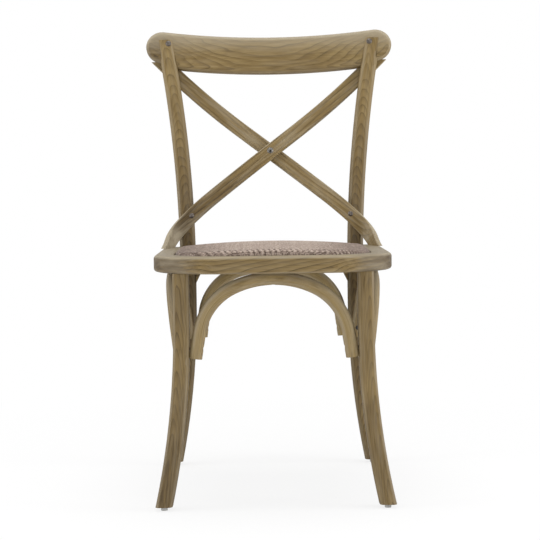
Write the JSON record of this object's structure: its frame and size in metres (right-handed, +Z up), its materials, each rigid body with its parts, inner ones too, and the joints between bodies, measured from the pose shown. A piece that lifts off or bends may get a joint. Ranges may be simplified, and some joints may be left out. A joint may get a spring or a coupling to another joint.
{
  "type": "cross back chair",
  "caption": "Bentwood dining chair with two crossing back strips under a bowed crest rail, a crowned woven seat and round arches bracing the legs.",
  "frame": {"origin": "on the floor under the middle of the chair's bounding box", "axes": "+Z up, -Y towards the front of the chair, +X to the right of someone facing the chair"},
  "size_m": [0.5082, 0.5375, 0.8992],
  "materials": {
    "weathered_wood": "satin",
    "plain_wood": "matte",
    "woven_rattan": "matte",
    "seat_foam": "matte",
    "aged_steel": "satin",
    "dark_steel": "satin",
    "glide_plastic": "matte"
  },
  "bodies": {
    "root": {"rear_leg_left": "weathered_wood", "rear_leg_right": "weathered_wood", "front_leg_left": "weathered_wood", "front_leg_right": "weathered_wood", "crest_rail": "weathered_wood", "cross_strip_front": "weathered_wood", "cross_strip_rear": "weathered_wood", "seat_rail_front": "weathered_wood", "seat_rail_left": "weathered_wood", "seat_rail_right": "weathered_wood", "seat_rail_back": "weathered_wood", "front_arch": "weathered_wood", "rear_arch": "weathered_wood", "side_arch_left": "weathered_wood", "side_arch_right": "weathered_wood", "rear_corner_block_left": "plain_wood", "rear_corner_block_right": "plain_wood", "seat_board": "plain_wood", "strip_foot_dowels": "plain_wood", "seat_pad": "seat_foam", "seat_weave": "woven_rattan", "crest_screws": "aged_steel", "strip_lower_screws": "aged_steel", "cross_bolt": "aged_steel", "strip_upper_screws": "dark_steel", "cross_nut": "dark_steel", "arch_end_screws": "dark_steel", "arch_crown_screws": "dark_steel", "rear_leg_bolts": "dark_steel", "rear_leg_nuts": "dark_steel", "seat_board_screws": "dark_steel", "foot_glides": "glide_plastic"}
  },
  "joints": []
}
